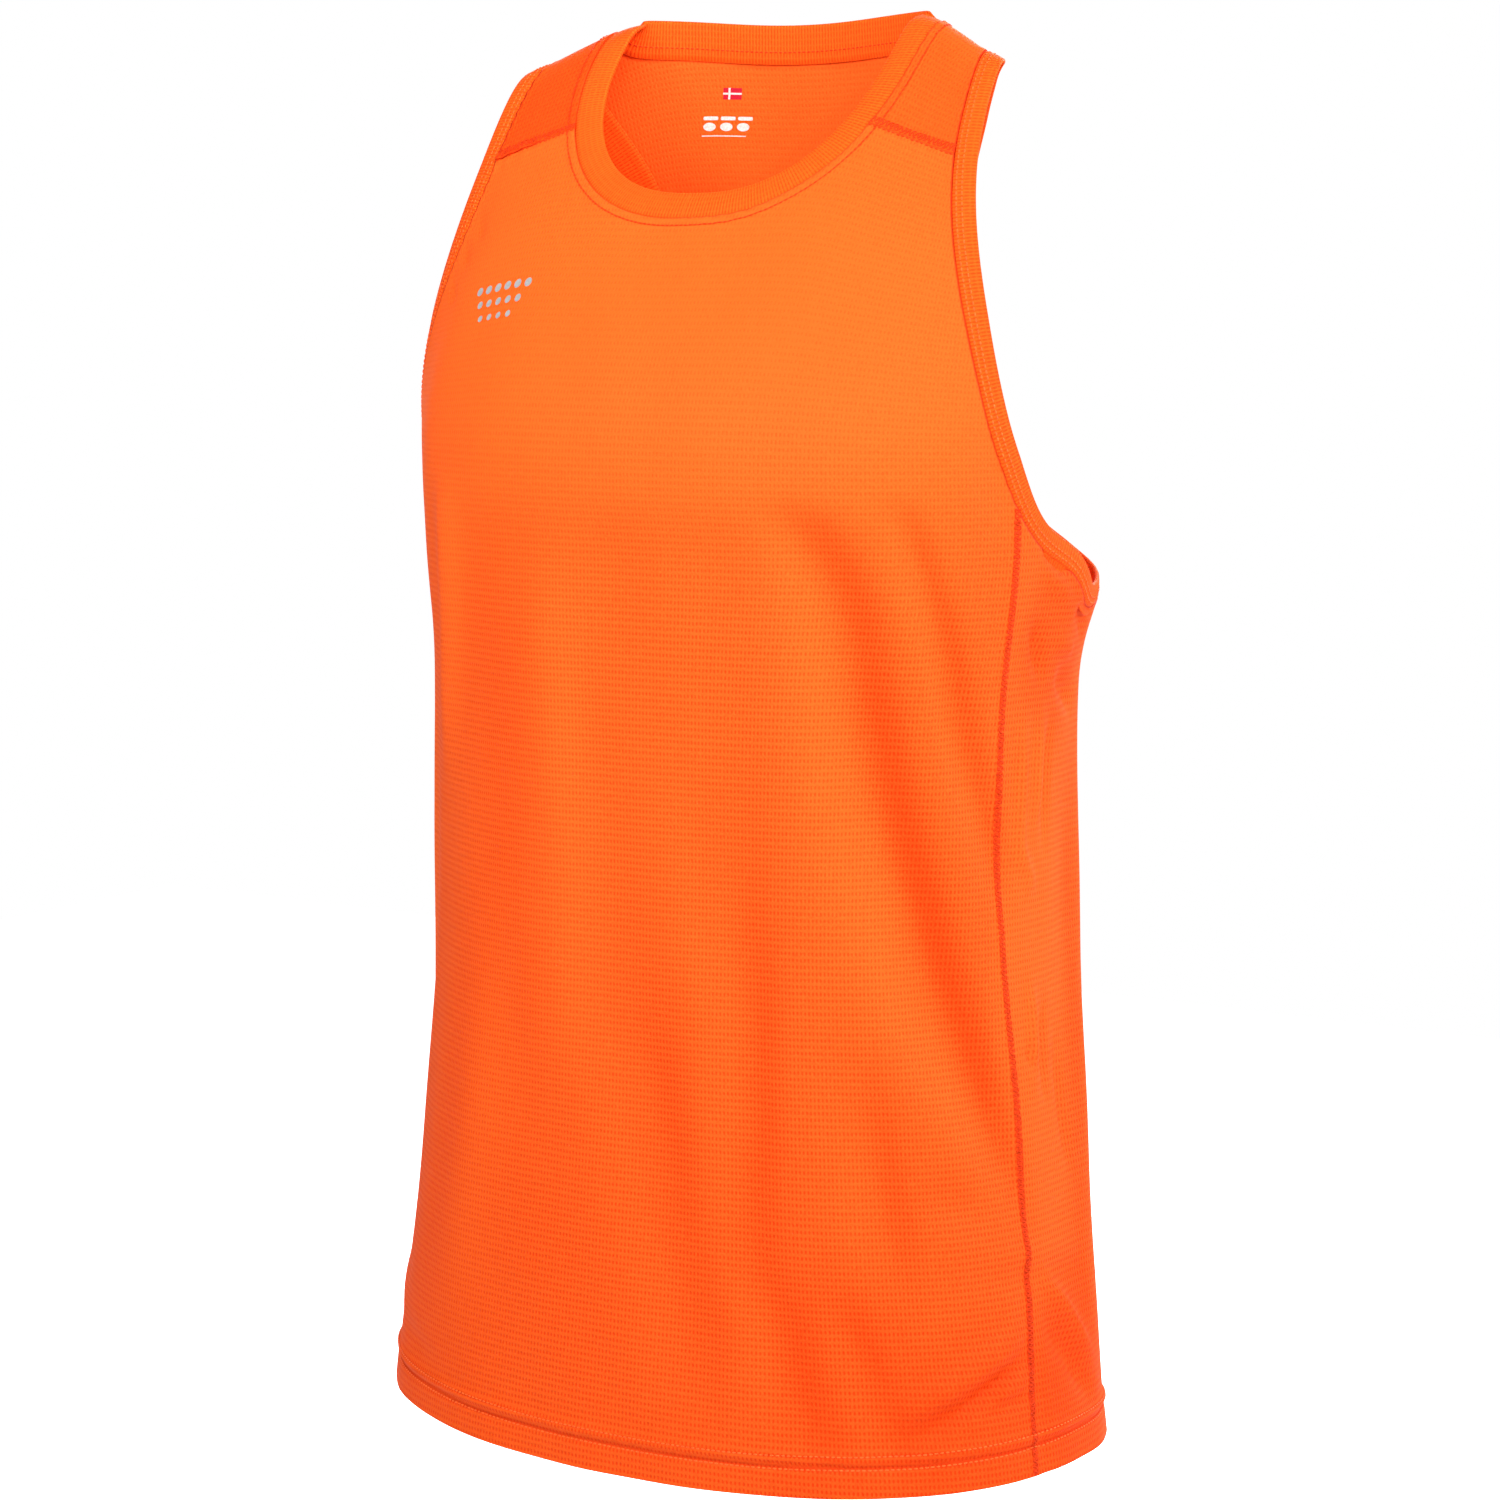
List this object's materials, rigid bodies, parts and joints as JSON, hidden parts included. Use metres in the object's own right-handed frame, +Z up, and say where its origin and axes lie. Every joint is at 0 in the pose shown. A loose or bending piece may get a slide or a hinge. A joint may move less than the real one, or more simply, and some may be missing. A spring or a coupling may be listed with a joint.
{
  "type": "running singlet",
  "caption": "Sleeveless running singlet in light mesh knit, held in its worn form, with a scooped neckband, bound armholes, racer back and forward shoulder seams.",
  "frame": {"origin": "where the garment is held: midway between the two shoulders, at the height of the shoulder ridges", "axes": "+Z up, +X towards the wearer's left, the front faces -Y"},
  "size_m": [0.4128, 0.2544, 0.7509],
  "materials": {
    "mesh_knit": "light polyester mesh knit in bright orange, soft sheen, small dash-shaped dimples",
    "band_knit": "folded band of the same orange knit, coverstitched"
  },
  "bodies": {
    "root": {"front_panel": "mesh_knit", "back_panel": "mesh_knit", "neckband": "band_knit", "armhole_binding_left": "band_knit", "armhole_binding_right": "band_knit"}
  },
  "joints": []
}
